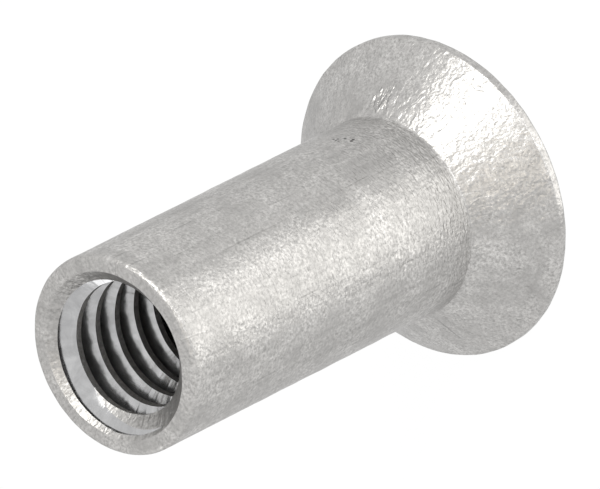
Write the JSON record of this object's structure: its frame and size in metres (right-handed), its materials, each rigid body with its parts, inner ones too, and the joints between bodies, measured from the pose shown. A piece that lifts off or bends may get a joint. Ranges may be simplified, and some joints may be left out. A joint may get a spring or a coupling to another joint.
{
  "type": "sleeve nut",
  "caption": "Steel sleeve nut with a plain round barrel, a metric thread open at one end and a countersunk head with a hexagon socket.",
  "frame": {"origin": "centre of the head's flat face, which is the lowest face of the part as it stands on its head", "axes": "+Z along the axis from the head to the barrel's open mouth; X and Y have no meaning of their own"},
  "size_m": [0.008, 0.008, 0.012],
  "materials": {
    "zinc_coated_steel": "matt, finely mottled zinc skin, bright steel on the thread's flanks"
  },
  "bodies": {
    "root": {"sleeve_nut": "zinc_coated_steel"}
  },
  "joints": []
}
